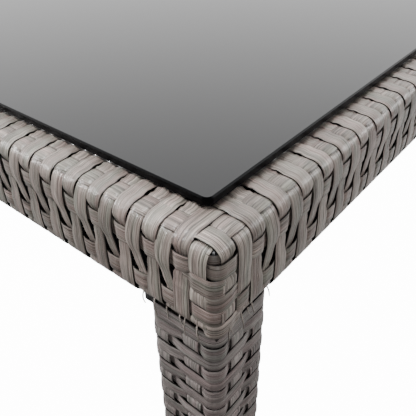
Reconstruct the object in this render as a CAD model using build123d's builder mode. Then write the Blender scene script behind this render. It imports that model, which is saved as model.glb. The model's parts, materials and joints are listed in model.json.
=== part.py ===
"""Garden coffee table: a welded tube frame covered in flat woven wicker, with a loose glass top.

Millimetres, +Z up. The origin is on the floor under the middle of the table.
X runs along the long rails, Y from the front rail (-Y) to the back rail (+Y).
"""
from build123d import *
import os

# ---- overall sizes ----
table_length = 900.0            # over the wicker of the left and right rails
table_depth = 500.0             # over the wicker of the front and back rails
table_height = 400.0            # floor to the upper face of the glass

# ---- glass top ----
glass_thickness = 5.0
glass_inset = 20.5              # from the outer face of the wicker to the edge of the glass
glass_corner_radius = 4.0
glass_arris = 0.8               # polished bevel round both faces
glass_lift = 1.5                # air between the wicker and the glass

# ---- wicker ----
weave_thickness = 2.5           # two layers of flat strand
skin_gap = 0.3                  # between a wicker skin and the metal in it
rail_weave_rounding = 8.5
rail_weave_corner = 6.0         # outer upright edge where two rails meet
leg_weave_rounding = 7.0

# ---- rail tubes ----
rail_width = 20.0
rail_height = 50.0
rail_wall = 1.5
rail_rounding = 3.0
mitre_rounding = 3.0            # the welded mitre is ground round on the outside
outline_margin = 0.01           # a rounding outline stands this far off the flat faces it leaves alone

# ---- legs ----
leg_size = 40.0
leg_wall = 1.5
leg_rounding = 3.0
leg_inset = 3.0                 # outer faces of the leg tubes behind those of the rail tubes
leg_cap_thickness = 3.0

# ---- cross bars that carry the glass ----
bar_size = 20.0
bar_wall = 1.2
bar_rounding = 2.0
bar_offset = 210.0              # each side of the middle

# ---- corner gussets ----
gusset_leg = 60.0
gusset_thickness = 3.0
gusset_tip = 8.0                # blunt ends of the plate
gusset_pad_inset = 17.0         # pad centre from the two inner faces of the rails

# ---- clear pads under the glass ----
pad_diameter = 14.0
pad_chamfer = 1.0
pad_stem_diameter = 4.8
pad_stem_length = 6.0
pad_stem_clearance = 0.1        # on the radius of the hole that takes the stem
bar_pad_spacing = 150.0

# ---- push-in feet ----
foot_overhang = 1.0             # the foot shows round the leg tube by this much
foot_size = leg_size + 2 * foot_overhang
foot_height = 6.0
foot_rounding = 5.0
foot_chamfer = 1.5
plug_length = 20.0
plug_clearance = 0.2
rib_depth = 1.2
rib_height = 2.5
rib_pitch = 6.0

# ---- levels and positions that follow ----
glass_bottom = table_height - glass_thickness
weave_top = glass_bottom - glass_lift
tube_top = weave_top - weave_thickness
tube_bottom = tube_top - rail_height
weave_bottom = tube_bottom - weave_thickness
tube_middle = tube_top - rail_height / 2
pad_height = glass_bottom - tube_top
leg_top = tube_bottom - leg_cap_thickness

half_length = table_length / 2
half_depth = table_depth / 2
tube_half_length = half_length - weave_thickness
tube_half_depth = half_depth - weave_thickness
inner_half_length = tube_half_length - rail_width
inner_half_depth = tube_half_depth - rail_width
leg_x = tube_half_length - leg_inset - leg_size / 2
leg_y = tube_half_depth - leg_inset - leg_size / 2
gusset_pad_x = inner_half_length - gusset_pad_inset
gusset_pad_y = inner_half_depth - gusset_pad_inset
pad_hole_radius = pad_stem_diameter / 2 + pad_stem_clearance

rails = ["front", "back", "left", "right"]
corners = {"front_left": (-1, -1), "front_right": (1, -1), "back_left": (-1, 1), "back_right": (1, 1)}
bars = {"left": -1, "right": 1}

os.makedirs("parts", exist_ok=True)


def save(builder, name):
    """Label a finished piece and write it as its own file."""
    builder.part.label = name
    export_step(builder.part, f"parts/{name}.step")


def rail_frame(rail):
    """The plane across a rail, the middle of its section on that plane, and half its run."""
    centre_x = tube_half_length - rail_width / 2
    centre_y = tube_half_depth - rail_width / 2
    if rail == "front":
        return Plane.YZ, (-centre_y, tube_middle), half_length
    if rail == "back":
        return Plane.YZ, (centre_y, tube_middle), half_length
    if rail == "left":
        return Plane.XZ, (-centre_x, tube_middle), half_depth
    return Plane.XZ, (centre_x, tube_middle), half_depth


def mitre_outline(rail):
    """The share of the plan that belongs to one rail: its ends run in at 45 degrees."""
    reach = min(half_length, half_depth)
    if rail in ("front", "back"):
        side = -1 if rail == "front" else 1
        return [
            (-half_length, side * half_depth),
            (half_length, side * half_depth),
            (half_length - reach, side * (half_depth - reach)),
            (-half_length + reach, side * (half_depth - reach)),
        ]
    side = -1 if rail == "left" else 1
    return [
        (side * half_length, -half_depth),
        (side * half_length, half_depth),
        (side * (half_length - reach), half_depth - reach),
        (side * (half_length - reach), -half_depth + reach),
    ]


def leg_places():
    return [(side_x * leg_x, side_y * leg_y) for side_x, side_y in corners.values()]


# ---- rail tubes: rectangular tube, mitred and welded into one ring ----
for rail in rails:
    section_plane, section_centre, half_run = rail_frame(rail)
    with BuildPart() as rail_tube:
        with BuildSketch(section_plane):
            with Locations(section_centre):
                RectangleRounded(rail_width, rail_height, rail_rounding)
                RectangleRounded(
                    rail_width - 2 * rail_wall,
                    rail_height - 2 * rail_wall,
                    rail_rounding - rail_wall,
                    mode=Mode.SUBTRACT,
                )
        extrude(amount=half_run, both=True)
        with BuildSketch():
            RectangleRounded(
                2 * (tube_half_length + outline_margin),
                2 * (tube_half_depth + outline_margin),
                mitre_rounding,
            )
        extrude(amount=table_height, mode=Mode.INTERSECT)
        with BuildSketch():
            Polygon(*mitre_outline(rail), align=None)
        extrude(amount=table_height, mode=Mode.INTERSECT)
    save(rail_tube, f"{rail}_rail_tube")

# ---- leg tubes, their welded cap plates and their push-in feet ----
for corner, (side_x, side_y) in corners.items():
    place = (side_x * leg_x, side_y * leg_y)

    with BuildPart() as leg_tube:
        with BuildSketch(Plane.XY.offset(foot_height)):
            with Locations(place):
                RectangleRounded(leg_size, leg_size, leg_rounding)
                RectangleRounded(
                    leg_size - 2 * leg_wall,
                    leg_size - 2 * leg_wall,
                    leg_rounding - leg_wall,
                    mode=Mode.SUBTRACT,
                )
        extrude(amount=leg_top - foot_height)
    save(leg_tube, f"leg_tube_{corner}")

    with BuildPart() as leg_cap:
        with BuildSketch(Plane.XY.offset(leg_top)):
            with Locations(place):
                RectangleRounded(leg_size, leg_size, leg_rounding)
        extrude(amount=leg_cap_thickness)
    save(leg_cap, f"leg_cap_{corner}")

    plug_size = leg_size - 2 * leg_wall - 2 * plug_clearance
    with BuildPart() as foot:
        with BuildSketch():
            with Locations(place):
                RectangleRounded(foot_size, foot_size, foot_rounding)
        extrude(amount=foot_height)
        chamfer(foot.faces().sort_by(Axis.Z)[0].edges(), length=foot_chamfer)
        with BuildSketch(Plane.XY.offset(foot_height)):
            with Locations(place):
                Rectangle(plug_size - 2 * rib_depth, plug_size - 2 * rib_depth)
        extrude(amount=plug_length)
        for rib in range(int(plug_length // rib_pitch)):
            with BuildSketch(Plane.XY.offset(foot_height + rib * rib_pitch + rib_pitch / 2)):
                with Locations(place):
                    RectangleRounded(plug_size, plug_size, leg_rounding)
            extrude(amount=rib_height)
    save(foot, f"foot_{corner}")

# ---- cross bars: square tube, welded between the front and back rails ----
for bar, side in bars.items():
    with BuildPart() as cross_bar:
        with BuildSketch(Plane.XZ):
            with Locations((side * bar_offset, tube_top - bar_size / 2)):
                RectangleRounded(bar_size, bar_size, bar_rounding)
                RectangleRounded(
                    bar_size - 2 * bar_wall,
                    bar_size - 2 * bar_wall,
                    bar_rounding - bar_wall,
                    mode=Mode.SUBTRACT,
                )
        extrude(amount=inner_half_depth, both=True)
        with BuildSketch(Plane.XY.offset(tube_top)):
            with Locations((side * bar_offset, 0)):
                with GridLocations(0, bar_pad_spacing, 1, 3):
                    Circle(pad_hole_radius)
        extrude(amount=-bar_wall, mode=Mode.SUBTRACT)
    save(cross_bar, f"cross_bar_{bar}")

# ---- corner gussets: flat plates welded into the inner corners, flush with the tubes ----
for corner, (side_x, side_y) in corners.items():
    with BuildPart() as gusset:
        with BuildSketch(Plane.XY.offset(tube_top - gusset_thickness)):
            Polygon(
                (side_x * inner_half_length, side_y * inner_half_depth),
                (side_x * (inner_half_length - gusset_leg), side_y * inner_half_depth),
                (side_x * (inner_half_length - gusset_leg), side_y * (inner_half_depth - gusset_tip)),
                (side_x * (inner_half_length - gusset_tip), side_y * (inner_half_depth - gusset_leg)),
                (side_x * inner_half_length, side_y * (inner_half_depth - gusset_leg)),
                align=None,
            )
            with Locations((side_x * gusset_pad_x, side_y * gusset_pad_y)):
                Circle(pad_hole_radius, mode=Mode.SUBTRACT)
        extrude(amount=gusset_thickness)
    save(gusset, f"corner_gusset_{corner}")

# ---- clear pads: a disc that carries the glass and a stem pressed into the metal ----
with BuildPart() as glass_pads:
    pad_places = [(side_x * gusset_pad_x, side_y * gusset_pad_y) for side_x, side_y in corners.values()]
    for side in bars.values():
        pad_places += [(side * bar_offset, step * bar_pad_spacing) for step in (-1, 0, 1)]
    with BuildSketch(Plane.XY.offset(tube_top)):
        with Locations(*pad_places):
            Circle(pad_diameter / 2)
    extrude(amount=pad_height)
    chamfer(glass_pads.faces().filter_by(Axis.Z).group_by(Axis.Z)[-1].edges(), length=pad_chamfer)
    with BuildSketch(Plane.XY.offset(tube_top)):
        with Locations(*pad_places):
            Circle(pad_stem_diameter / 2)
    extrude(amount=-pad_stem_length)
save(glass_pads, "glass_pads")

# ---- glass top: toughened panel with rounded corners and a polished arris ----
with BuildPart() as glass_top:
    with BuildSketch(Plane.XY.offset(glass_bottom)):
        RectangleRounded(
            table_length - 2 * glass_inset,
            table_depth - 2 * glass_inset,
            glass_corner_radius,
        )
    extrude(amount=glass_thickness)
    chamfer(glass_top.faces().filter_by(Axis.Z).edges(), length=glass_arris)
save(glass_top, "glass_top")

# ---- wicker on the rails: a sleeve round each tube, mitred where two rails meet ----
for rail in rails:
    section_plane, section_centre, half_run = rail_frame(rail)
    with BuildPart() as tube_channel:
        with BuildSketch(section_plane):
            with Locations(section_centre):
                RectangleRounded(
                    rail_width + 2 * skin_gap,
                    rail_height + 2 * skin_gap,
                    rail_rounding + skin_gap,
                )
        extrude(amount=half_run, both=True)
        with BuildSketch():
            RectangleRounded(
                2 * (tube_half_length + skin_gap + outline_margin),
                2 * (tube_half_depth + skin_gap + outline_margin),
                mitre_rounding + skin_gap,
            )
        extrude(amount=table_height, mode=Mode.INTERSECT)

    with BuildPart() as rail_weave:
        with BuildSketch(section_plane):
            with Locations(section_centre):
                RectangleRounded(
                    rail_width + 2 * weave_thickness,
                    rail_height + 2 * weave_thickness,
                    rail_weave_rounding,
                )
        extrude(amount=half_run, both=True)
        with BuildSketch():
            RectangleRounded(
                table_length + 2 * outline_margin,
                table_depth + 2 * outline_margin,
                rail_weave_corner,
            )
        extrude(amount=table_height, mode=Mode.INTERSECT)
        add(tube_channel.part, mode=Mode.SUBTRACT)
        # the leg and its cap plate come up through the underside
        with BuildSketch(Plane.XY.offset(weave_bottom)):
            with Locations(*leg_places()):
                Rectangle(leg_size + 2 * skin_gap, leg_size + 2 * skin_gap)
        extrude(amount=weave_thickness, mode=Mode.SUBTRACT)
        # slots in the inner wall where the gussets and the cross bars are welded to the tube
        with BuildSketch(Plane.XY.offset(tube_top - gusset_thickness - skin_gap)):
            for side_x, side_y in corners.values():
                with Locations((side_x * inner_half_length, side_y * inner_half_depth)):
                    slot_span = 2 * (gusset_leg + skin_gap)
                    Rectangle(slot_span, slot_span)
            Rectangle(2 * inner_half_length, 2 * inner_half_depth, mode=Mode.INTERSECT)
        extrude(amount=gusset_thickness + 2 * skin_gap, mode=Mode.SUBTRACT)
        with BuildSketch(Plane.XY.offset(tube_top - bar_size - skin_gap)):
            with Locations(*[(side * bar_offset, 0) for side in bars.values()]):
                Rectangle(bar_size + 2 * skin_gap, 2 * inner_half_depth)
        extrude(amount=bar_size + 2 * skin_gap, mode=Mode.SUBTRACT)
        with BuildSketch():
            Polygon(*mitre_outline(rail), align=None)
        extrude(amount=table_height, mode=Mode.INTERSECT)
    save(rail_weave, f"wicker_{rail}_rail")

# ---- wicker on the legs: a square sleeve from the foot to the underside of the rails ----
for corner, (side_x, side_y) in corners.items():
    with BuildPart() as leg_weave:
        with BuildSketch(Plane.XY.offset(foot_height)):
            with Locations((side_x * leg_x, side_y * leg_y)):
                RectangleRounded(
                    leg_size + 2 * weave_thickness,
                    leg_size + 2 * weave_thickness,
                    leg_weave_rounding,
                )
                RectangleRounded(
                    leg_size + 2 * skin_gap,
                    leg_size + 2 * skin_gap,
                    leg_rounding + skin_gap,
                    mode=Mode.SUBTRACT,
                )
        extrude(amount=weave_bottom - foot_height)
    save(leg_weave, f"wicker_leg_{corner}")
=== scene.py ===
# %% [markdown]
# # A woven coffee table with a dark glass top
# The table is a welded tube frame, wrapped in flat plastic wicker strands, with a sheet of black
# glass lying on it. The frame, feet and glass are already exact solids, so they stay as they are
# and get better finishes. The wicker is what the eye looks at, so each strand is made for itself.
# A reader could paint the weave on as a pattern, but then its outline would be straight and the
# gaps would be flat, so here every strand is a real strip that dips and rises.

# %% Load the solid parts
import json
import math
from collections import namedtuple

import bpy
import numpy as np
from mathutils import Matrix, Vector

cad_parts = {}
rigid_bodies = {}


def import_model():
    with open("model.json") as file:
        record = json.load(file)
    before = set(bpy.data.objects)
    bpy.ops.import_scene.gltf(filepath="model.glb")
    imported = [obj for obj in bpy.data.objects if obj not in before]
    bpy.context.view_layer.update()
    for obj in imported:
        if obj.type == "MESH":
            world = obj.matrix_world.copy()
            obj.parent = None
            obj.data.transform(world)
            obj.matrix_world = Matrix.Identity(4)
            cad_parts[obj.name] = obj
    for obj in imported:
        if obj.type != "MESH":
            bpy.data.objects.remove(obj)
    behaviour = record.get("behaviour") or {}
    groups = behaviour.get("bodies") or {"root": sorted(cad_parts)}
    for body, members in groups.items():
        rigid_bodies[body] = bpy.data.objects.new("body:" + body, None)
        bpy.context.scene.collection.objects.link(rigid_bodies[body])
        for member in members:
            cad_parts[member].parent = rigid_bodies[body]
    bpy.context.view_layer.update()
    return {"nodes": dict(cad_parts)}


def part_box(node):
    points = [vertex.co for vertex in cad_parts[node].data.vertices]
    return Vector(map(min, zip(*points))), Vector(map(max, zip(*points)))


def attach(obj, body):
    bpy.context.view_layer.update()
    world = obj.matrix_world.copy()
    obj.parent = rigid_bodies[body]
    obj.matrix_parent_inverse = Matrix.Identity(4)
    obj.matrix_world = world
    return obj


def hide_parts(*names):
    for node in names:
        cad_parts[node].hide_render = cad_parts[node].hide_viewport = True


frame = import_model()

# %% [markdown]
# ## Sizes read from the solids
# Everything below is worked out in millimetres, because weaving is, and turned into metres at the
# last moment. The boxes of the tubes and of the plain wicker sleeves say where each strand runs.

# %% Boxes in millimetres
def box_mm(node):
    low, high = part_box(node)
    return np.array(low) * 1000, np.array(high) * 1000


sleeve_low, sleeve_high = box_mm("wicker_front_rail")
tube_low, tube_high = box_mm("front_rail_tube")
long_length = 2 * abs(box_mm("wicker_left_rail")[0][0])
short_length = 2 * abs(sleeve_low[1])
wicker_top = sleeve_high[2]
half_wide = (tube_high[1] - tube_low[1]) / 2
half_high = (tube_high[2] - tube_low[2]) / 2
tube_middle = (tube_high[2] + tube_low[2]) / 2
skin = (sleeve_high[1] - sleeve_low[1]) / 2 - half_wide
print("rails", long_length, short_length, "tube", half_wide, half_high, "wicker", skin)

# %% [markdown]
# ## Where a strand may lie
# A strand's place on a wrapped tube needs three numbers: how far along the tube it is, how far
# round the tube, and how high above the metal. Round the tube means going along a rectangle with
# rounded corners. One function does that for the rails and, seen from above, for the legs too.

# %% Walk round a rounded rectangle
def walk_round(way, high, half_u, half_v, bend, loose_ends=False):
    """Points at a distance way round a rounded rectangle, a height high outside it.

    It starts on the upper side and goes towards +u. With loose_ends the upper side runs on
    straight before the start, and the +u side runs on straight after its end.
    """
    u_in, v_in = half_u - bend, half_v - bend
    quarter = bend * math.pi / 2
    way, high = np.broadcast_arrays(np.asarray(way, float), np.asarray(high, float))
    flats = [2 * u_in, 2 * v_in, 2 * u_in, 2 * v_in]
    if not loose_ends:
        way = way % (sum(flats) + 4 * quarter)
    centres = [(-u_in, v_in), (u_in, v_in), (u_in, -v_in), (-u_in, -v_in)]
    u, v = np.zeros(way.shape), np.zeros(way.shape)
    start = 0.0
    for side in range(2 if loose_ends else 4):
        run = way - start
        here = (run >= 0) & (run < flats[side] + quarter)
        turn = np.clip(run - flats[side], 0, quarter) / bend
        straight = np.clip(run, 0, flats[side])
        if loose_ends and side == 0:
            here = run < flats[0] + quarter
            straight = np.minimum(run, flats[0])
        if loose_ends and side == 1:
            here, turn, straight = run >= 0, 0 * run, run
        facing = math.pi / 2 * (1 - side)
        du, dv = math.sin(facing), -math.cos(facing)
        out = facing - turn
        cu, cv = centres[side]
        u = np.where(here, cu + du * straight + (bend + high) * np.cos(out), u)
        v = np.where(here, cv + dv * straight + (bend + high) * np.sin(out), v)
        start += flats[side] + quarter
    return u, v


rail_bend = 6.0
rail_round = 4 * (half_wide + half_high - 2 * rail_bend) + 2 * math.pi * rail_bend
print("distance round a rail tube, mm:", round(rail_round, 1))

# %% [markdown]
# ## Places on a rail
# The rails point along x or y and face four ways. The strands shouldn't have to know that, so
# each rail gets a function that turns its own three numbers into a point of the table.

# %% A function for each rail
def is_long(side):
    return side in ("front", "back")


def rail_place(side, mirrored=False, loose_ends=False):
    """A function of (along, round, high) that gives points on the named rail.

    along is measured from the left end of a long rail or the front end of a short one, or from
    the other end when mirrored. round starts on top and goes over the outer edge.
    """
    outward = 1 if side in ("back", "right") else -1
    length, across = long_length, short_length
    if not is_long(side):
        length, across = across, length

    def place(along, way, high):
        u, v = walk_round(way, high, half_wide, half_high, rail_bend, loose_ends)
        end = -1 if mirrored else 1
        run = end * (along - length / 2)
        off = outward * (across / 2 - skin - half_wide + u)
        first, second = (run, off) if is_long(side) else (off, run)
        first, second = np.broadcast_arrays(first, second)
        return np.stack([first, second, tube_middle + v + 0 * first], -1)

    return place


print("start of the front rail's top, mm:", rail_place("front")(0.0, 0.0, 0.0).round(1))

# %% [markdown]
# ## One strand
# The real strand is an extruded flat ribbon, about ten millimetres wide and one thick, with a
# slightly crowned face. Its section is swept along its path here. A curve with a bevel could do
# it, but a curve turns its section by itself, and this ribbon has to lie flat on the tube and go
# round its edges. So each point of the section is placed by the functions above. Four things ride
# along in the mesh: where a point is on its strand, a number that differs from strand to strand,
# how much painted shade the point gets, which is more where it lies low, on its edges and on its
# underside, and a second map that lays all strands side by side.

# %% The section of a strand
# Three numbers for each point of the section: how far across it is, from edge to edge, how high
# it is, and how far it is round the section. The upper face takes up the first half of the way
# round, and the last number closes the way.
section_across = np.array([-1, -0.9, -0.5, 0, 0.5, 0.9, 1, 0.9, -0.9])
section_high = np.array([0.28, 0.46, 0.54, 0.57, 0.54, 0.46, 0.28, -0.5, -0.5])
section_girth = np.array([0, 0.06, 0.26, 0.5, 0.74, 0.94, 1.0, 1.1, 1.9, 2.0])
crown, edges_of_section, lower_face = 3, [0, 6], slice(7, None)
# painted shade: how low a point must lie to start darkening, over what depth it gets fully dark,
# and how dark the edges of a strand are painted
shade_starts, shade_depth, edge_shade = 1.45, 1.5, 0.75
print("points in a section:", len(section_across))

# %% Sweep the section along a path
Strand = namedtuple("Strand", "points lengths buried flip closed tone")
chance = np.random.default_rng(11)


def sweep(place, path, centre, width, high, thick=1.0, closed=False, swap=False, tone=None,
          curl=0.0):
    """A strand along path. centre, width, high and curl may be numbers or arrays.

    swap is for a strand whose path goes along the rail, and whose width goes round it.
    curl is how far the strand's edges bend down below its middle.
    """
    path = np.asarray(path, float)
    centre, width, high, curl = (x + 0 * path for x in (centre, width, high, curl))
    across = centre[:, None] + section_across * width[:, None] / 2
    height = high[:, None] + section_high * thick - curl[:, None] * section_across**2
    run = path[:, None] + 0 * across

    def at(h):
        return place(run, across, h) if swap else place(across, run, h)

    points, above = at(height), at(height + 1)
    middle = points[:, crown]
    step = np.gradient(middle, axis=0)
    side = points[:, crown + 1] - points[:, crown - 1]
    flip = np.sum(np.cross(step, side) * (above - points)[:, crown]) > 0
    steps = np.linalg.norm(np.diff(middle, axis=0), axis=1)
    lengths = np.concatenate([[0], np.cumsum(steps)])
    # painted shade: darker the lower a point lies, dark along the edges of whole strands and
    # darkest on the underside
    buried = np.clip((shade_starts - height - curl[:, None]) / shade_depth, 0, 1)
    if thick == 1.0:
        buried[:, edges_of_section] = np.maximum(buried[:, edges_of_section], edge_shade)
    buried[:, lower_face] = 1.0
    tone = chance.random() if tone is None else tone
    return Strand(points, lengths, buried, flip, closed, tone)


trial = sweep(rail_place("front"), np.arange(0, 100, 1.5), 200, 10, 1, tone=0.5)
print("a trial strand is this long, mm:", trial.lengths[-1].round(1))

# %% Faces along a strand
def strand_faces(strand):
    """Point numbers of a strand's faces, and how far round and along it each corner is."""
    n, m = strand.points.shape[:2]
    rings = n if strand.closed else n - 1
    i, j = np.meshgrid(np.arange(rings), np.arange(m), indexing="ij")
    i2, j2 = (i + 1) % n, (j + 1) % m
    order = [(i, j), (i, j2), (i2, j2), (i2, j)]
    girth = [j, j + 1, j + 1, j]
    onward = [i, i, i + 1, i + 1]
    if strand.flip:
        order, girth, onward = order[::-1], girth[::-1], onward[::-1]
    spans = np.append(strand.lengths, 2 * strand.lengths[-1] - strand.lengths[-2])
    faces = np.stack([a * m + b for a, b in order], -1).reshape(-1, 4)
    u = section_girth[np.stack(girth, -1)].reshape(-1)
    v = spans[np.stack(onward, -1)].reshape(-1)
    return faces, u, v


print("faces of the trial strand:", len(strand_faces(trial)[0]))

# %% [markdown]
# ## Many strands in one mesh
# An object for each strand would be slow and hard to pick up, so the strands of one rail, corner
# or leg become one mesh. Each needs its own room in the second map, so that map is divided into
# columns and rows, with as many of each as makes a strand's room about as wide as the strand.

# %% Lay all strands side by side
map_column = 24.0       # mm of the second map's width for each strand


def join_strands(strands):
    """Points, faces and the two maps of all strands; the faces of cut ends come last."""
    count = len(strands)
    longest = max(strand.lengths[-1] for strand in strands)
    columns = min(count, max(1, round(math.sqrt(count * longest / map_column))))
    rows = math.ceil(count / columns)
    verts, quads, ends, base = [], [], [], 0
    maps, end_maps = {"Strand": [], "OFBake": []}, {"Strand": [], "OFBake": []}
    for number, strand in enumerate(strands):
        n, m = strand.points.shape[:2]
        faces, u, v = strand_faces(strand)
        row, column = divmod(number, columns)
        laid_out = np.stack([(column + 0.04 + 0.46 * u) / columns,
                             (row + 0.02 + 0.96 * v / (longest * 1.02)) / rows], -1)
        maps["Strand"].append(np.stack([u, v / 1000], -1))
        maps["OFBake"].append(laid_out)
        cuts = () if strand.closed else ((0, strand.flip), (n - 1, not strand.flip))
        for ring, backwards in cuts:
            loop = [base + ring * m + k for k in range(m)]
            ends.append(loop[::-1] if backwards else loop)
            end_maps["Strand"].append(np.tile([[0.5, strand.lengths[ring] / 1000]], (m, 1)))
            end_maps["OFBake"].append(laid_out[:1].repeat(m, 0))
        quads.append(base + faces)
        verts.append(strand.points.reshape(-1, 3) / 1000)
        base += n * m
    faces = np.concatenate(quads).tolist() + ends
    maps = {title: np.concatenate(maps[title] + end_maps[title]) for title in maps}
    return np.concatenate(verts), faces, maps


print("points of two trial strands:", len(join_strands([trial, trial])[0]))

# %% A bag of strands
class Weave:
    """Strands that will become one mesh."""

    def __init__(self, name):
        self.name = name
        self.strands = []

    def lay(self, place, path, centre, width, high, **more):
        """Adds a strand along path. What may be in more is said in sweep."""
        self.strands.append(sweep(place, path, centre, width, high, **more))

    def build(self, material, body, nodes=()):
        """Makes the mesh object, which rides on a body and may stand for solid nodes."""
        verts, faces, maps = join_strands(self.strands)
        mesh = bpy.data.meshes.new(self.name)
        mesh.from_pydata(verts, [], faces)
        for title, every in maps.items():
            layer = mesh.uv_layers.new(name=title, do_init=False)
            layer.uv.foreach_set("vector", every.astype(np.float32).ravel())
        tones = [np.full(strand.buried.size, strand.tone) for strand in self.strands]
        painted_shades = [strand.buried.ravel() for strand in self.strands]
        for title, parts in (("tone", tones), ("buried", painted_shades)):
            held = mesh.attributes.new(title, "FLOAT", "POINT")
            held.data.foreach_set("value", np.concatenate(parts).astype(np.float32))
        mesh.polygons.foreach_set("use_smooth", np.ones(len(faces), bool))
        mesh.set_sharp_from_angle(angle=math.radians(50))
        mesh.materials.append(material)
        mesh.update()
        piece = bpy.data.objects.new(self.name, mesh)
        bpy.context.scene.collection.objects.link(piece)
        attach(piece, body)
        if nodes:
            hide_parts(*nodes)
        print(f"{self.name}: {len(self.strands)} strands, {len(faces)} faces")


# %% [markdown]
# ## Over and under
# A plain weave is only a rule: at each crossing one strand is over and the other under. Heights
# are given at the crossings and the strand eases from one to the next, with a flat stretch at
# each, because a ribbon lies flat on what it crosses.

# %% Ease between known heights
over, under = 2.05, 0.42
snug, snug_along = 0.2, 0.24        # the share of each gap that is flat beside a stop


def ease(at, stops, values, flat):
    """Values at the stops, with a smooth step between them that is flat near each stop."""
    order = np.argsort(stops)
    stops, values = np.asarray(stops, float)[order], np.asarray(values, float)[order]
    k = np.clip(np.searchsorted(stops, at, side="right") - 1, 0, len(stops) - 2)
    share = (at - stops[k]) / (stops[k + 1] - stops[k])
    share = np.clip((share - flat) / (1 - 2 * flat), 0, 1)
    share = share * share * (3 - 2 * share)
    return values[k] + (values[k + 1] - values[k]) * share


print("half way between over and under:", ease(np.array([5.0]), [0, 10], [over, under], snug))

# %% [markdown]
# ## Writing finishes as sums
# A finish is a graph of nodes. Written as sums it is easier to read, so a small class wraps a
# socket and turns each operator into a Math node. Colours go through Mix nodes instead, because a
# Math node would turn them grey.

# %% A socket that can be added and multiplied
class Wire:
    def __init__(self, graph, socket):
        self.graph, self.socket = graph, socket

    def output(self, number):
        """Another output of the same node."""
        return Wire(self.graph, self.socket.node.outputs[number])

    def maths(self, operation, first, second):
        return self.graph.add("ShaderNodeMath", {"operation": operation}, {0: first, 1: second})

    def __add__(self, other):
        return self.maths("ADD", self, other)

    def __radd__(self, other):
        return self.maths("ADD", other, self)

    def __sub__(self, other):
        return self.maths("SUBTRACT", self, other)

    def __rsub__(self, other):
        return self.maths("SUBTRACT", other, self)

    def __mul__(self, other):
        return self.maths("MULTIPLY", self, other)

    def __rmul__(self, other):
        return self.maths("MULTIPLY", other, self)


print("sums that a wire knows:", [n for n in vars(Wire) if n.startswith("__r")])

# %% A graph and a finish
class Graph:
    """A tree of nodes, built one node at a time."""

    def __init__(self, tree):
        self.tree = tree
        self.tree.nodes.clear()

    def add(self, kind, settings={}, sockets={}, out=0):
        node = self.tree.nodes.new(kind)
        for name, value in settings.items():
            setattr(node, name, value)
        for key, value in sockets.items():
            if isinstance(value, Wire):
                self.tree.links.new(value.socket, node.inputs[key])
            else:
                node.inputs[key].default_value = value
        return Wire(self, node.outputs[out]) if node.outputs else None

    def blend(self, share, first, second, way="MIX"):
        settings = {"data_type": "RGBA", "blend_type": way}
        return self.add("ShaderNodeMix", settings, {0: share, 6: first, 7: second}, 2)

    def ramp(self, value, low, high):
        """value from low to high, stretched to 0 to 1."""
        sockets = {"Value": value, "From Min": low, "From Max": high}
        return self.add("ShaderNodeMapRange", {"clamp": True}, sockets)


class Finish(Graph):
    """A material."""

    def __init__(self, name):
        self.material = bpy.data.materials.new(name)
        self.material.use_nodes = True
        super().__init__(self.material.node_tree)

    def cover(self, sockets, other=None):
        """Ends the material in one shader, or in two mixed by other, a share and a shader."""
        shader = self.add("ShaderNodeBsdfPrincipled", {}, sockets)
        if other:
            shader = self.add("ShaderNodeMixShader", {}, {0: other[0], 1: shader, 2: other[1]})
        self.add("ShaderNodeOutputMaterial", {}, {"Surface": shader})
        print(f"{self.material.name}: {len(self.tree.nodes)} nodes")
        return self.material


# %% [markdown]
# ## The finish of a strand
# The strand is drawn through a die, which leaves fine grooves along it, and it is coloured in the
# mass with streaks of beige, a pinkish grey and a greenish grey, so that it looks like old reed.
# The streaks and grooves follow the strand, so they are made in the strand's own coordinates, and
# not in space, where they would run straight through the bends. Thin bright streaks are a painted
# highlight added to the colour. Where a strand lies low, on its edges and underneath, shade is
# painted into its colour.

# %% Streaked wicker
def wicker_finish(name, light, dark, pink, green):
    f = Finish(name)
    wide = f.add("ShaderNodeSeparateXYZ", {}, {0: f.add("ShaderNodeUVMap", {"uv_map": "Strand"})})
    far = wide.output(1)
    tone = f.add("ShaderNodeAttribute", {"attribute_name": "tone"}, {}, 2)
    buried = f.add("ShaderNodeAttribute", {"attribute_name": "buried"}, {}, 2)

    def noise(across, along, detail, seed):
        """Noise in the strand's own coordinates, which starts elsewhere on each strand."""
        where = {0: wide * across + tone * 91.7 + seed, 1: far * along, 2: tone * 37.0 + seed}
        vector = f.add("ShaderNodeCombineXYZ", {}, where)
        sockets = {"Vector": vector, "Scale": 1.0, "Detail": detail, "Roughness": 0.6}
        return f.add("ShaderNodeTexNoise", {"noise_dimensions": "3D"}, sockets)

    groove = f.ramp(noise(16.0, 12.0, 2.0, 0.0), 0.34, 0.62)
    fibre = f.ramp(noise(52.0, 60.0, 3.0, 5.0), 0.30, 0.70)
    # painted highlight: thin bright streaks that are added to the colour
    painted_glint = f.ramp(noise(27.0, 85.0, 1.0, 33.0), 0.60, 0.74)
    patches = noise(1.6, 38.0, 2.0, 9.0)
    tints = noise(2.2, 17.0, 1.0, 21.0)
    colour = f.blend(f.ramp(patches + tone * 0.26, 0.38, 0.84), dark, light)
    colour = f.blend(f.ramp(tints, 0.50, 0.68) * 0.55, colour, pink)
    colour = f.blend(f.ramp(tints, 0.48, 0.30) * 0.55, colour, green)
    shade = (0.32 + 0.72 * groove) * (0.64 + 0.46 * fibre) + 0.60 * painted_glint
    # painted shade: the colour is darkened where the mesh marks a point as lying low, on an edge or
    # underneath
    shade = shade * (1 - 0.96 * f.ramp(buried, 0.12, 0.80))
    grey = f.add("ShaderNodeCombineXYZ", {}, {0: shade, 1: shade, 2: shade})
    colour = f.blend(1.0, colour, grey, "MULTIPLY")
    relief = groove * 0.8 + fibre * 0.35
    bump = f.add("ShaderNodeBump", {}, {"Strength": 0.8, "Distance": 0.0001, "Height": relief})
    rough = 0.25 + 0.16 * fibre - 0.05 * groove
    return f.cover({"Base Color": colour, "Roughness": rough, "Normal": bump,
                    "Specular IOR Level": 0.65})


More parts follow.
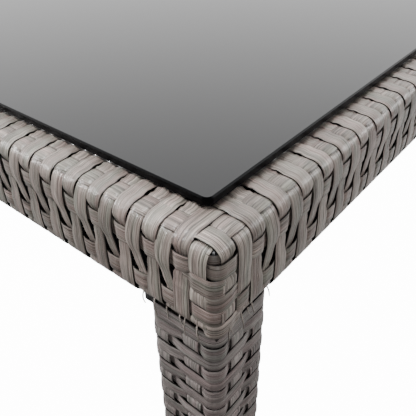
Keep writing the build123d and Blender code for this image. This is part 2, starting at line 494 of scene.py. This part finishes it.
rail_wicker = wicker_finish("rail_wicker", light=(0.64, 0.55, 0.485, 1),
                            dark=(0.30, 0.255, 0.225, 1), pink=(0.55, 0.395, 0.36, 1),
                            green=(0.39, 0.41, 0.34, 1))
# painted shade: the leg's colours are the rail's made darker, for the shade on the leg's upright
# faces
shaded_leg_wicker = wicker_finish("shaded_leg_wicker", light=(0.53, 0.46, 0.435, 1),
                           dark=(0.29, 0.25, 0.24, 1), pink=(0.47, 0.35, 0.34, 1),
                           green=(0.35, 0.36, 0.32, 1))

# %% [markdown]
# ## How the rails are wrapped
# Strands go round each rail side by side, and six long strands run along it: one on top near the
# outer edge, two on the outer face, one below and two on the inner face. A wrapping strand goes
# over the first long one, under the second, over the third and so on, and its neighbour does the
# opposite. The count on each rail is even, so both ends of a rail look alike.

# %% Steps along a rail and stops round it
first_long, first_short = 9.7, 10.2         # the first strand's middle, from the rail's end
steps_long, steps_short = 86, 52
pitch_long = (long_length - 2 * first_long) / steps_long
pitch_short = (short_length - 2 * first_short) / steps_short
# how far round each crossing is, with the bends and the stretches between crossings
round_stops = np.array([6.6, 12.9, 25.2, 37.0, 48.7, 60.1, 68.8, 77.5, 89.1, 101.0, 112.5,
                        119.5, 125.8, 128.9])
crossings = (0, 2, 4, 6, 8, 10)
lower_long, inner_top = 4, 12               # two of the stops, which get a width of their own
leg_reach = 48.0                            # nearer to an end than this, strands go down the leg


def rail_run(side):
    """A rail's length, where its first wrapping strand is, and its pitch and steps."""
    if is_long(side):
        return long_length, first_long, pitch_long, steps_long
    return short_length, first_short, pitch_short, steps_short


print("pitch on long and short rails:", round(pitch_long, 2), round(pitch_short, 2))

# %% [markdown]
# ## Wide where it shows, narrow where it dips
# A strand is squeezed where it goes under another, so it looks narrow there, and it spreads where
# it lies on top. One strand in two also slants on the outer face, which opens the dark slots
# between neighbours. All three are lists of values at the stops, and the strand eases between
# them, so a different weave needs only other values.

# %% Height, width and slant of a wrapping strand
def wrap_heights(first_is_over):
    """Height at each stop round the rail, for a strand that starts over or under."""
    heights = np.array([0, 2.0, 0, 1.2, 0, 1.8, 0, 1.75, 0, 1.25, 0, 2.4, 4.7, 2.9])
    if not first_is_over:
        heights[1] = 1.3
        heights[-2:] = 4.4, 2.1
    for turn, stop in enumerate(crossings):
        heights[stop] = over if (turn % 2 == 0) == first_is_over else under
    return heights


def wrap_widths(first_is_over, pitch):
    widths = np.full(len(round_stops), pitch - 0.2)
    widths[[3, 9]] = pitch - 1.6 if first_is_over else pitch - 2.7
    for turn, stop in enumerate(crossings):
        widths[stop] = pitch + 0.4 if (turn % 2 == 0) == first_is_over else pitch - 3.0
    widths[lower_long] -= 0.5
    widths[inner_top] = pitch + 0.6
    return widths


lean_stops = [6.6, 12.9, 25.2, 30.5, 45.0, 50.0, 68.8, 77.5]
lean_along = [0, 0, 1.9, 1.8, -2.2, -2.4, 0, 0]


def lean_of(way, first_is_over):
    """How far along the rail a strand strays on the outer face, where it slants."""
    return 0 * way if first_is_over else np.interp(way % rail_round, lean_stops, lean_along)


def wrap_shape(way, first_is_over, pitch):
    """Height and width, with the stops repeated a turn earlier and later, to leave no seam."""
    stops = np.concatenate([round_stops - rail_round, round_stops, round_stops + rail_round])
    heights = np.tile(wrap_heights(first_is_over), 3)
    widths = np.tile(wrap_widths(first_is_over, pitch), 3)
    return ease(way, stops, heights, snug), ease(way, stops, widths, 0.12)


print("widths round a long rail:", wrap_widths(True, pitch_long).round(1))

# %% [markdown]
# ## Where the wrapping strands end
# Along the rail a strand simply meets itself again. Over a leg it can't: it leaves the outer face,
# slips in behind the weave of the leg and is cut off, with a fibre or two sticking out. Beside the
# glass the strands curl a little, edges down, which gives that edge its scallops.

# %% Going down the leg, curling and fraying
# how far round a strand starts to slip in, how far that takes, and how deep it ends
tuck_from, tuck_over, tuck_depth = 55.0, 9.0, 2.1
cut_from = 57.0
curl_depth, curl_reach = 1.1, 3.2


def down_the_leg(way, high):
    """The strand leaves the rail's outer face and runs in behind the weave of the leg."""
    past = np.clip((way - tuck_from) / tuck_over, 0, 1)
    return high - past * past * (3 - 2 * past) * (high + tuck_depth)


def inner_curl(way):
    """How far a strand's edges bend down, which is only near the rail's inner upper edge."""
    off = (way - round_stops[inner_top] + rail_round / 2) % rail_round - rail_round / 2
    return curl_depth * np.exp(-(off / curl_reach) ** 2)


def fray(weave, place, along, count=1):
    """Loose pale fibres where a strand has been cut off at the leg."""
    for _ in range(count):
        at, stray, long = chance.uniform(-3.5, 3.5), chance.normal(0, 1.6), chance.uniform(5, 11)
        share = np.linspace(0, 1, 9)
        high = 1.9 + 1.5 * share + 0.5 * np.sin(4 * share + at)
        weave.lay(place, cut_from + long * share, along + at + stray * share**2,
                  0.75 - 0.5 * share, high, thick=0.5, tone=2.6)


print("curl beside the glass, mm:", inner_curl(round_stops[inner_top]))

# %% [markdown]
# ## Wrapping a rail
# The strands near an end fan out on the inner side, because the inner edge of a corner is shorter
# than the outer one. A little chance in place and drift keeps them from looking stamped.

# %% Wrap one rail
fan_reach, fan_fade = 5.6, 0.62     # mm that the last strand fans out, and the share for the next


def wrap_to_leg(weave, side, way, centre, drift, width, high):
    """A strand that starts inside the rail and ends behind the weave of the leg."""
    # below the last crossing the strand stays out until it goes in behind the leg weave
    high = down_the_leg(way, np.where(way > 45, np.maximum(high, 1.3), high))
    width = width * (1 - 0.35 * np.clip((way - 58) / 10, 0, 1))
    # the loose-ended place has no inner edge, so the two parts are laid one after the other
    inside, outside = rail_place(side), rail_place(side, loose_ends=True)
    for place, part in ((inside, way <= 5), (outside, way > 2)):
        tone = weave.strands[-1].tone if place is outside else None
        weave.lay(place, way[part], drift[part], width[part], high[part], tone=tone,
                  curl=inner_curl(way[part]))
    fray(weave, outside, centre)


def wrap_rail(weave, side):
    length, first, pitch, steps = rail_run(side)
    for number in range(2, steps - 1):
        centre = first + pitch * number
        first_is_over = number % 2 == (0 if is_long(side) else 1)
        fan = fan_reach * fan_fade ** (min(number, steps - number) - 2)
        fan = fan if number < steps / 2 else -fan
        wave, shift, swell = chance.normal(0, 0.16, 3)
        if min(centre, length - centre) < leg_reach:
            way = np.arange(-51.0, 68.0, 1.6)
            high, width = wrap_shape(way, first_is_over, pitch)
            drift = centre + fan * np.clip((-5 - way) / 8, 0, 1) + wave * np.sin(way / 19) + shift
            drift = drift + (1 if centre < length / 2 else 0.3) * lean_of(way, first_is_over)
            wrap_to_leg(weave, side, way, centre, drift, width, high)
            continue
        way = np.linspace(0, rail_round, 84, endpoint=False) + 70
        high, width = wrap_shape(way, first_is_over, pitch)
        inner = np.exp(-(((way - 75) % rail_round - 30) / 26) ** 2)
        drift = centre + fan * inner + wave * np.sin(2 * math.pi * way / rail_round)
        drift = drift + shift + lean_of(way, first_is_over)
        weave.lay(rail_place(side), way, drift, width * (1 + 0.02 * swell), high + 0.05 * wave,
                  closed=True, curl=inner_curl(way))


print("the last strands fan out by, mm:", [round(fan_reach * fan_fade**k, 1) for k in range(3)])

# %% [markdown]
# ## The long strands
# These are the stakes of the weave. They are laid after the wrapping strands and do the opposite
# at every crossing. The second one isn't laid here, because it is the band that goes round the
# whole table. The ends are hidden under the corners, so each stake starts where it is out of view.

# %% The strands that run along
along_width = 10.3
along_ways = {"long": [6.7, None, 48.7, 68.8, 89.1, 112.5],
              "short": [7.2, None, 48.7, 68.8, 89.1, 112.5]}
along_starts = {"long": [8.0, None, 15.5, 50.0, 28.0, 28.0],
                "short": [17.0, None, 18.5, 50.0, 28.0, 28.0]}


def lay_along(weave, side):
    length, first, pitch, steps = rail_run(side)
    crossing_at = first + pitch * np.arange(steps + 1)
    kind = "long" if is_long(side) else "short"
    for number, (way, start) in enumerate(zip(along_ways[kind], along_starts[kind])):
        if way is None:
            continue
        path = np.arange(start, length - start + 1, 1.45)
        wrap_is_over = (np.arange(steps + 1) + number) % 2 == (0 if is_long(side) else 1)
        high = ease(path, crossing_at, np.where(wrap_is_over, under, over), snug_along)
        wander = 0.35 * np.sin(path / 61 + chance.uniform(0, 6)) + 0.2 * np.sin(path / 23)
        weave.lay(rail_place(side), path, way + wander, along_width, high, swap=True)


for side in ("front", "back", "left", "right"):
    weave = Weave(f"wicker_{side}_wraps")
    wrap_rail(weave, side)
    weave.build(rail_wicker, "frame", [f"wicker_{side}_rail"])
    weave = Weave(f"wicker_{side}_stakes")
    lay_along(weave, side)
    weave.build(rail_wicker, "frame")

# %% [markdown]
# ## The band that goes right round
# The second long strand doesn't stop at the corners: it goes round the whole table. Seen from
# above it follows a rounded rectangle again, and near each corner it climbs a little.

# %% Where the band meets the wrapping strands
band_bend = 3.5
half_long, half_short = long_length / 2 - skin, short_length / 2 - skin
flat_long, flat_short = 2 * (half_long - band_bend), 2 * (half_short - band_bend)
band_quarter = band_bend * math.pi / 2
band_length = 2 * (flat_long + flat_short) + 4 * band_quarter
face_starts = np.cumsum([0, flat_long + band_quarter, flat_short + band_quarter,
                         flat_long + band_quarter])


def band_place(way, level_at, high):
    x, y = walk_round(way, high, half_long, half_short, band_bend)
    return np.stack([x, y, level_at + 0 * x], -1)


def band_stops():
    """Every crossing on the four outer faces, and whether the wrap there goes over the band."""
    stops, wrap_over = [], []
    for face in range(4):
        _, first, pitch, steps = rail_run("front" if face % 2 == 0 else "left")
        numbers = np.arange(steps + 1)
        stops.append(face_starts[face] + first + pitch * numbers - skin - band_bend)
        wrap_over.append(numbers % 2 == (1 if face % 2 == 0 else 0))
    return np.concatenate(stops), np.concatenate(wrap_over)


print("the band's length, mm:", round(band_length))

# %% A closed band
band_drop, band_width = 16.4, 10.3      # middle of the band below the wicker's top, and its width
climb_high, climb_narrow, climb_reach = 4.4, 1.6, 22

stops, wrap_over = band_stops()
band_way = np.linspace(0, band_length, 1900, endpoint=False)
high = ease(band_way, np.append(stops, stops[0] + band_length),
            np.append(np.where(wrap_over, under, over), under), snug_along)
corner_ways = np.append(face_starts - band_quarter / 2, band_length - band_quarter / 2)
to_corner = np.min(np.abs(band_way[:, None] - corner_ways), axis=1)
climb = np.exp(-(to_corner / climb_reach) ** 2)
band = Weave("wicker_outer_band")
band.lay(band_place, band_way, wicker_top - band_drop + climb_high * climb,
         band_width - climb_narrow * climb, high, swap=True)
band.build(rail_wicker, "frame")

# %% [markdown]
# ## The corners
# At a corner the top strands of the two rails turn into each other's wraps: the one along the
# front rail bends down the side, and the one along the side rail bends down the front. With the
# band they cover one another in a ring, which leaves a small three-sided hole at the very corner.
# Below the band short strands of the leg's weave climb up round the corner edge.

# %% Round a corner of the outer faces
def corner_place(sx, sy):
    """along is 0 on the corner edge, positive on the long rail's face, negative on the short."""
    half = band_bend * math.pi / 4
    inset = skin + band_bend

    def place(along, level_at, high):
        angle = np.clip(along, -half, half) / band_bend
        out = math.pi / 4 - angle
        x = inset - np.sin(out) * (band_bend + high) + np.clip(along - half, 0, None)
        y = inset - np.cos(out) * (band_bend + high) + np.clip(-along - half, 0, None)
        return np.stack([sx * (long_length / 2 - x), sy * (short_length / 2 - y),
                         level_at + 0 * x], -1)

    return place


upper_flat_and_bend = 2 * (half_wide - rail_bend) + rail_bend * math.pi / 2


def way_at(below):
    """How far round a rail tube is a point of its outer face this far below the wicker's top."""
    return upper_flat_and_bend + below - skin - rail_bend


row_levels = [20.8, 30.4, 39.0, 47.3]
row_widths = [10.4, 10.2, 9.6, 9.0]
rows_at = [way_at(below) for below in row_levels]
print("corner rows are this far round a rail, mm:", np.round(rows_at, 1))

# %% [markdown]
# ## Four strands come down at each corner
# Two strands come down each face of a corner. Their heights are given at the edges and rows they
# meet, so each one dips and rises in turn, just as the wrapping strands do.

# %% Strands that come down at a corner
def drop(weave, place, along, start, stops, heights, lean=0.0):
    """A strand from the top of a rail, over its outer edge and down behind the leg's weave."""
    way = np.arange(start, 67.5, 1.3)
    high = down_the_leg(way, ease(way, stops, heights, snug))
    wide = 9.9 - 1.5 * np.clip((1.3 - high) / 0.8, 0, 1)
    wide = wide * (1 - 0.3 * np.clip((way - 58) / 9, 0, 1))
    drift = along + lean * np.clip((way - 30) / 40, 0, 1) + chance.normal(0, 0.15)
    weave.lay(place, way, drift, wide, high)
    fray(weave, place, along + lean, 2)


def corner_drops(weave, on_long, on_short):
    odd, even = rows_at[1::2], rows_at[0::2]
    # from the side rail's top strand, over its fellow and down the front
    drop(weave, on_long, first_long, -3.0,
         [-4, -2, 4.0, 12.9, way_at(9.8), way_at(15.5), *even, *odd],
         [under, under, 2.1, 2.0, under, under, over, over, under, under], -1.8)
    # from the front rail's top strand, under the last one and down the side
    drop(weave, on_short, first_short, 2.5,
         [2, 9.0, 13.8, way_at(13.0), *even, *odd],
         [under, under, 1.8, over, under, under, over, over], 0.6)
    # the next one on the side rail, over both top strands
    drop(weave, on_short, first_short + pitch_short + 0.8, -17.0,
         [-19, -11, -5.5, 5.0, 12.9, way_at(10.5), way_at(18), way_at(25), way_at(30), way_at(50)],
         [1.3, 1.3, 2.3, 2.3, 1.9, under, under, 1.4, over, over], 0.6)
    # the next one on the long rail, hidden on top
    drop(weave, on_long, first_long + pitch_long + 0.5, 2.0,
         [1, 8.5, 13.8, way_at(15.2), way_at(29), way_at(39.8), way_at(50)],
         [under, under, 1.7, over, 1.75, under, 1.6], 0.8)


print("a strand this far down the outer face, mm:", way_at(9.8).round(1), way_at(50).round(1))

# %% [markdown]
# ## Four rows round each corner edge
# The rows are short and level. They bend round the corner edge and vanish under the strands
# beside it, and every second one does the opposite of its neighbour.

# %% Rows round a corner edge
def corner_rows(weave, round_corner):
    half = band_bend * math.pi / 4
    at_short = -(first_short + 1.2 - skin - band_bend + half)
    at_long = first_long - skin - band_bend + half
    # a strand deep in the hole at the very corner, dark with painted shade because it lies low
    weave.lay(round_corner, np.arange(-7, 8, 0.8), wicker_top - 7.2, 8.0, 0.1, swap=True)
    for number, (below, width) in enumerate(zip(row_levels, row_widths)):
        if number % 2 == 0:
            stops = [-19, -14, at_short, 1.5, at_long, 14]
            heights = [0.35, 1.0, over, 2.0, under, 0.35]
        else:
            stops = [-12, at_short, -1.0, at_long, at_long + 6, 20]
            heights = [0.35, under, 1.9, over, 1.4, 0.35]
        path = np.arange(stops[0], stops[-1], 0.8)
        high = ease(path, stops, heights, 0.15)
        wide = width - 3.0 * np.clip((1.3 - high) / 0.9, 0, 1)
        slope = chance.normal(0, 0.012) * path
        weave.lay(round_corner, path, wicker_top - below + slope, wide, high, swap=True)


corners = {"front_left": (-1, -1), "front_right": (1, -1),
           "back_left": (-1, 1), "back_right": (1, 1)}
for corner, (sx, sy) in corners.items():
    front_or_back, left_or_right = corner.split("_")
    weave = Weave(f"wicker_corner_{corner}")
    corner_drops(weave, rail_place(front_or_back, mirrored=sx > 0, loose_ends=True),
                 rail_place(left_or_right, mirrored=sy > 0, loose_ends=True))
    corner_rows(weave, corner_place(sx, sy))
    weave.build(rail_wicker, "frame")

# %% [markdown]
# ## The legs
# Two upright strands lie on each face of a leg, and narrower strands go round it in tight rows.
# A row passes over the two uprights beside one edge and under the two beside the next edge, and
# the row below does the opposite. Long stretches bulge and short ones are pinched, which gives
# the leg its scalloped outline.

# %% Where the rows and uprights of a leg are
leg_bend = 4.5
row_pitch = 8.45
first_row, last_row = 6.0, 11.0         # the top row's middle, and the room left for the last one
first_row_raise = 1.3                   # the top row is pushed up against the rail
# the two uprights of each face, from the middle of the face
upright_offsets = [(-13.0, 5.5), (-6.3, 14.0), (-10.0, 9.0), (-9.0, 10.0)]
upright_width = 10.2


def leg_place(corner, sx, sy):
    low, high_corner = box_mm(f"leg_tube_{corner}")
    centre = (low + high_corner) / 2
    half = (high_corner[0] - low[0]) / 2

    def place(way, level_at, high):
        u, v = walk_round(way, high, half, half, leg_bend)
        return np.stack([centre[0] + sx * u, centre[1] + sy * v, level_at + 0 * u], -1)

    return place, half


def row_over(row, upright):
    return (row + (upright + 1) // 2) % 2 == 1


print("rows over the first upright:", [row_over(row, 0) for row in range(4)])

# %% [markdown]
# ## Weaving a leg
# A row is one closed ring. It has a height and a width at each upright and at each edge of the
# leg, and it eases between them as the wrapping strands do. The top row is wider, lies over
# everything and touches the rail, so that no metal shows between the rail and the leg.

# %% Weave a leg
def leg_row(row, uprights, edges, girth):
    """Stops round the leg, and the row's height and width at each."""
    stops = [*uprights, *(at % girth for at in edges)]
    if row == 0:
        heights = [2.15] * len(uprights) + [1.75] * len(edges)
        return np.array(stops), np.array(heights), np.full(len(stops), 9.9)
    over_upright = [row_over(row, upright) for upright in range(len(uprights))]
    over_edge = [row_over(row, 2 * face) for face in range(len(edges))]
    heights = [over if x else under for x in over_upright] + [1.75 if x else 2.2 for x in over_edge]
    widths = [8.7 if x else 6.9 for x in over_upright] + [7.6 if x else 9.3 for x in over_edge]
    return np.array(stops), np.array(heights), np.array(widths)


def weave_leg(weave, corner, sx, sy):
    place, half = leg_place(corner, sx, sy)
    flat, quarter = 2 * (half - leg_bend), leg_bend * math.pi / 2
    girth = 4 * (flat + quarter)
    low, high_corner = box_mm(f"wicker_leg_{corner}")
    top, bottom = high_corner[2], low[2]
    rows = int((top - bottom - last_row) / row_pitch) + 1
    levels = top - first_row - row_pitch * np.arange(rows)
    levels[0] += first_row_raise
    uprights = [face * (flat + quarter) + flat / 2 + offset
                for face, pair in enumerate(upright_offsets) for offset in pair]
    edges = [face * (flat + quarter) - quarter / 2 for face in range(4)]
    way = np.linspace(0, girth, 112, endpoint=False)
    for row, level_at in enumerate(levels):
        stops, heights, widths = leg_row(row, uprights, edges, girth)
        every = np.concatenate([stops - girth, stops, stops + girth])
        high = ease(way, every, np.tile(heights, 3), snug)
        wide = ease(way, every, np.tile(widths, 3), 0.05)
        wobble = 0.22 * np.sin(2 * math.pi * way / girth + chance.uniform(0, 6))
        centre = level_at + wobble + chance.normal(0, 0.12)
        weave.lay(place, way, centre, wide, high, swap=True, closed=True)
    path = np.arange(bottom + 0.6, top - 1.5, 1.1)
    for upright, at in enumerate(uprights):
        heights = np.where([row_over(row, upright) for row in range(rows)], under, over)
        heights[0] = under
        high = ease(path, levels, heights, snug)
        weave.lay(place, path, at + 0.25 * np.sin(path / 31 + upright), upright_width, high)
    print(f"{corner} leg: {rows} rows, {len(uprights)} uprights")


for corner, (sx, sy) in corners.items():
    weave = Weave(f"wicker_legweave_{corner}")
    weave_leg(weave, corner, sx, sy)
    weave.build(shaded_leg_wicker, "frame", [f"wicker_leg_{corner}"])

# %% [markdown]
# ## Finishes for the solid parts
# The tubes are powder coated, which leaves a fine orange-peel surface. The glass is tinted so
# dark that it reads as black with a mirror on top, so a glossy dark surface is enough, with faint
# smears that only change how sharp its reflections are. Its upright edge is duller than its face.
# The feet are grained black plastic and the pads are clear rubber, which looks milky on black.

# %% A finish for a solid
grain_depth = 0.0001


def solid_finish(name, colour, rough, grain, size, extra={}, dull_edge=False):
    """rough is the least and most roughness, grain the bump's strength and size its scale."""
    f = Finish(name)
    spot = f.add("ShaderNodeTexCoord", {}, {}, 3)
    fine = f.add("ShaderNodeTexNoise", {}, {"Vector": spot, "Scale": size, "Detail": 3.0})
    broad = f.add("ShaderNodeTexNoise", {}, {"Vector": spot, "Scale": 9.0, "Detail": 2.0})
    lighter = tuple(min(1, c * 1.35 + 0.002) for c in colour[:3]) + (1,)
    tint = f.blend(f.ramp(broad, 0.35, 0.7), colour, lighter)
    bump = f.add("ShaderNodeBump", {}, {"Strength": grain, "Distance": grain_depth,
                                        "Height": fine})
    rough_map = rough[0] + (rough[1] - rough[0]) * f.ramp(broad * 0.6 + fine * 0.4, 0.3, 0.7)
    sockets = {"Base Color": tint, "Roughness": rough_map, "Normal": bump, **extra}
    if not dull_edge:
        return f.cover(sockets)
    normal = f.add("ShaderNodeNewGeometry", {}, {}, 1)
    upward = f.add("ShaderNodeSeparateXYZ", {}, {0: normal}, 2)
    upright = 1 - f.ramp(upward * upward, 0.05, 0.4)
    edge = f.add("ShaderNodeBsdfPrincipled", {}, {"Base Color": colour, "Roughness": 0.35,
                                                  "Specular IOR Level": 0.06})
    return f.cover(sockets, (upright, edge))


print("depth of the grain, mm:", grain_depth * 1000)

# %% Paint, glass, plastic and rubber
finishes = {
    "frame_paint": solid_finish("powder_coat", (0.010, 0.010, 0.011, 1), (0.22, 0.34), 0.25, 900),
    "foot_plastic": solid_finish("foot_plastic_grain", (0.014, 0.014, 0.014, 1), (0.42, 0.55),
                                 0.3, 1400),
    "clear_pad": solid_finish("milky_rubber", (0.62, 0.65, 0.66, 1), (0.2, 0.35), 0.1, 500),
    "dark_glass": solid_finish("black_glass", (0.0035, 0.004, 0.006, 1), (0.015, 0.05), 0.0, 40,
                               extra={"IOR": 1.52}, dull_edge=True),
}
covered = []
for name, node in frame["nodes"].items():
    for slot in node.material_slots:
        if slot.material and slot.material.name in finishes:
            slot.material = finishes[slot.material.name]
            covered.append(name)
print(len(covered), "solid nodes got a finish, the others are the wicker's plain sleeves")

# %% [markdown]
# ## Floor
# The floor is white paper, bright enough to read as pure white from above, and it curves up into
# a wall and a ceiling. It isn't seen by the table, so it throws no light up under the rails.

# %% White paper
paper = Finish("white_paper")
spot = paper.add("ShaderNodeTexCoord", {}, {}, 3)
fibre = paper.add("ShaderNodeTexNoise", {}, {"Vector": spot, "Scale": 300.0})
paper.cover({"Base Color": (0.8, 0.8, 0.8, 1), "Roughness": 0.8 + 0.1 * fibre,
             "Emission Color": (1, 1, 1, 1), "Emission Strength": 14.0})


def stage_bowl(radius, sides=64):
    """A flat floor that turns up into a wall and closes overhead, as rings of points."""
    bend = np.linspace(-math.pi / 2, math.pi / 2, 24)
    wall = radius * 0.6 + radius * 0.4 * np.cos(bend)
    far = np.concatenate([[0.001, radius * 0.6], wall, [0.001]])
    high = np.concatenate([[0, 0], radius * 0.4 * (1 + np.sin(bend)), [radius * 0.8]])
    turn = np.linspace(0, 2 * math.pi, sides, endpoint=False)
    points = np.stack([far[:, None] * np.cos(turn), far[:, None] * np.sin(turn),
                       high[:, None] + 0 * turn], -1)
    i, j = np.meshgrid(np.arange(len(far) - 1), np.arange(sides), indexing="ij")
    j2 = (j + 1) % sides
    faces = np.stack([i * sides + j, (i + 1) * sides + j, (i + 1) * sides + j2, i * sides + j2], -1)
    return points.reshape(-1, 3), faces.reshape(-1, 4)


floor_mesh = bpy.data.meshes.new("floor")
points, faces = stage_bowl(14.0)
floor_mesh.from_pydata(points.tolist(), [], faces.tolist())
floor_mesh.materials.append(paper.material)
floor = bpy.data.objects.new("floor", floor_mesh)
bpy.context.scene.collection.objects.link(floor)
for ray in ("diffuse", "glossy", "transmission", "shadow"):
    setattr(floor, f"visible_{ray}", False)
print("floor faces:", len(faces))

# %% [markdown]
# ## Sky
# A pale sky gives the soft light. A plain grey one would leave the glass a flat grey too, so this
# one is brighter overhead and on one side, and the glass mirrors it as a long smooth fade.

# %% A sky that is brighter on one side
bright_side = Vector((0.64, 0.55, 0.22)).normalized()
world = bpy.data.worlds.new("studio")
world.use_nodes = True
bpy.context.scene.world = world
sky = Graph(world.node_tree)
spot = sky.add("ShaderNodeTexCoord")
facing = sky.add("ShaderNodeVectorMath", {"operation": "DOT_PRODUCT"}, {0: spot, 1: bright_side}, 1)
strength = sky.add("ShaderNodeMapRange", {"interpolation_type": "SMOOTHSTEP"},
                   {"Value": facing, "From Min": -0.2, "From Max": 1.08,
                    "To Min": 0.04, "To Max": 2.5})
sky.add("ShaderNodeOutputWorld", {},
        {"Surface": sky.add("ShaderNodeBackground", {}, {"Strength": strength})})
print("sky nodes:", len(sky.tree.nodes))

# %% [markdown]
# ## Lamps
# Four round soft lamps draw the highlights along the bends of the strands. The glass would mirror
# each of them as a white disc, so the lamps are linked to everything but the glass, the pads that
# carry it and the floor.

# %% Soft lamps for all but the glass
woven = bpy.data.collections.new("lit_by_lamps")
for piece in bpy.data.objects:
    if piece.type == "MESH" and piece is not floor and "glass" not in piece.name:
        woven.objects.link(piece)


def soft_light(name, place, aim, size, power):
    lamp = bpy.data.lights.new(name, "AREA")
    lamp.shape = "DISK"
    lamp.size = size
    lamp.energy = power
    holder = bpy.data.objects.new(name, lamp)
    bpy.context.scene.collection.objects.link(holder)
    holder.location = place
    holder.rotation_euler = (Vector(aim) - Vector(place)).to_track_quat("-Z", "Y").to_euler()
    holder.light_linking.receiver_collection = woven
    print(f"{name}: {power} W from {place}")


soft_light("key", (-0.75, 0.25, 1.9), (-0.4, -0.2, 0.38), 0.6, 21)
soft_light("left_sheen", (-1.35, 1.5, 1.15), (-0.45, -0.1, 0.38), 0.4, 28)
soft_light("right_sheen", (1.2, -1.3, 0.95), (-0.3, -0.25, 0.38), 0.6, 13)
soft_light("front_fill", (-1.15, -1.05, 0.42), (-0.44, -0.24, 0.3), 0.8, 4.4)

# %% [markdown]
# ## Camera
# The camera stands close to one corner and a little above it, and looks down along the table. Its
# direction is given as three turns, because those are what a person would change.

# %% Look down at one corner
eye = Vector((-0.5634, -0.3411, 0.5253))
yaw, pitch, roll = 0.706, 0.638, -0.025
level_ahead = Vector((math.cos(yaw), math.sin(yaw), 0))
ahead = level_ahead * math.cos(pitch) - Vector((0, 0, math.sin(pitch)))
level_right = ahead.cross(Vector((0, 0, 1))).normalized()
level_up = level_right.cross(ahead)
right = level_right * math.cos(roll) + level_up * math.sin(roll)
up = level_up * math.cos(roll) - level_right * math.sin(roll)
lens = bpy.data.cameras.new("camera")
lens.lens = 43.93
lens.shift_x = 0.010
lens.clip_start = 0.01
camera = bpy.data.objects.new("camera", lens)
camera.matrix_world = Matrix((
    (right.x, up.x, -ahead.x, eye.x),
    (right.y, up.y, -ahead.y, eye.y),
    (right.z, up.z, -ahead.z, eye.z),
    (0, 0, 0, 1)))
bpy.context.scene.collection.objects.link(camera)
bpy.context.scene.camera = camera
print("camera at", eye, "looking along", ahead)

# %% [markdown]
# ## End
# The strands lie a little proud of the plain sleeves.

# %% Update the scene
bpy.context.view_layer.update()
